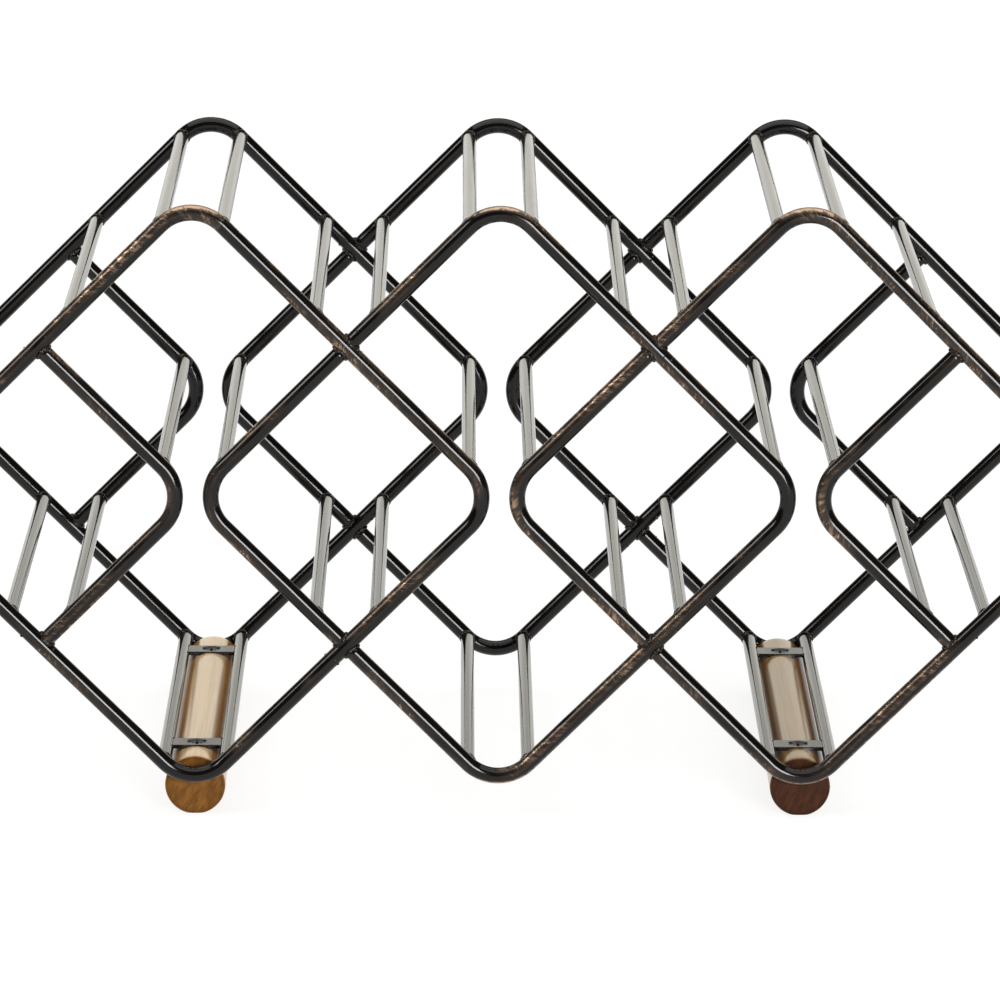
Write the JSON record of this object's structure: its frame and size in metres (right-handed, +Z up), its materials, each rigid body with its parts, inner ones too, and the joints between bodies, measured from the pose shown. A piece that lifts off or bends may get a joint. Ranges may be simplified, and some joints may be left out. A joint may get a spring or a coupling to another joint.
{
  "type": "wine rack",
  "caption": "Tabletop lattice wine rack: two welded faces of bent round bar in overlapping diamonds, joined by cross rods, on two wooden dowel feet.",
  "frame": {"origin": "on the surface it stands on, below the middle of the rack: the middle of the two dowels' flats in X and Y", "axes": "+X along the rack's width, to the right as seen from the front; +Y from the front face to the back face, along a lying bottle; +Z up"},
  "size_m": [0.5906, 0.253, 0.3082],
  "materials": {
    "frame_bronze": "glossy near-black bronze paint, rubbed to copper along the edges",
    "rod_black": "the same glossy near-black paint, not rubbed",
    "honey_wood": "lacquered, honey coloured",
    "walnut_wood": "lacquered, reddish dark brown",
    "screw_steel": "blackened steel"
  },
  "bodies": {
    "root": {"front_left_ring": "frame_bronze", "front_left_end_bow": "frame_bronze", "front_middle_bow": "frame_bronze", "front_middle_inner_bow": "frame_bronze", "front_right_bow": "frame_bronze", "front_right_inner_bow": "frame_bronze", "front_right_end_bow": "frame_bronze", "back_left_ring": "frame_bronze", "back_left_end_bow": "frame_bronze", "back_middle_bow": "frame_bronze", "back_middle_inner_bow": "frame_bronze", "back_right_bow": "frame_bronze", "back_right_inner_bow": "frame_bronze", "back_right_end_bow": "frame_bronze", "top_rod_1": "rod_black", "top_rod_2": "rod_black", "top_rod_3": "rod_black", "top_rod_4": "rod_black", "top_rod_5": "rod_black", "top_rod_6": "rod_black", "upper_rod_1": "rod_black", "upper_rod_2": "rod_black", "upper_rod_3": "rod_black", "upper_rod_4": "rod_black", "upper_rod_5": "rod_black", "upper_rod_6": "rod_black", "middle_rod_1": "rod_black", "middle_rod_2": "rod_black", "middle_rod_3": "rod_black", "middle_rod_4": "rod_black", "middle_rod_5": "rod_black", "middle_rod_6": "rod_black", "middle_rod_7": "rod_black", "middle_rod_8": "rod_black", "lower_rod_1": "rod_black", "lower_rod_2": "rod_black", "lower_rod_3": "rod_black", "lower_rod_4": "rod_black", "lower_rod_5": "rod_black", "lower_rod_6": "rod_black", "lower_rod_7": "rod_black", "lower_rod_8": "rod_black", "bottom_rod_1": "rod_black", "bottom_rod_2": "rod_black", "bottom_rod_3": "rod_black", "bottom_rod_4": "rod_black", "bottom_rod_5": "rod_black", "bottom_rod_6": "rod_black", "left_dowel": "honey_wood", "right_dowel": "walnut_wood", "left_front_strap": "rod_black", "left_back_strap": "rod_black", "right_front_strap": "rod_black", "right_back_strap": "rod_black", "left_front_screw": "screw_steel", "left_back_screw": "screw_steel", "right_front_screw": "screw_steel", "right_back_screw": "screw_steel"}
  },
  "joints": []
}
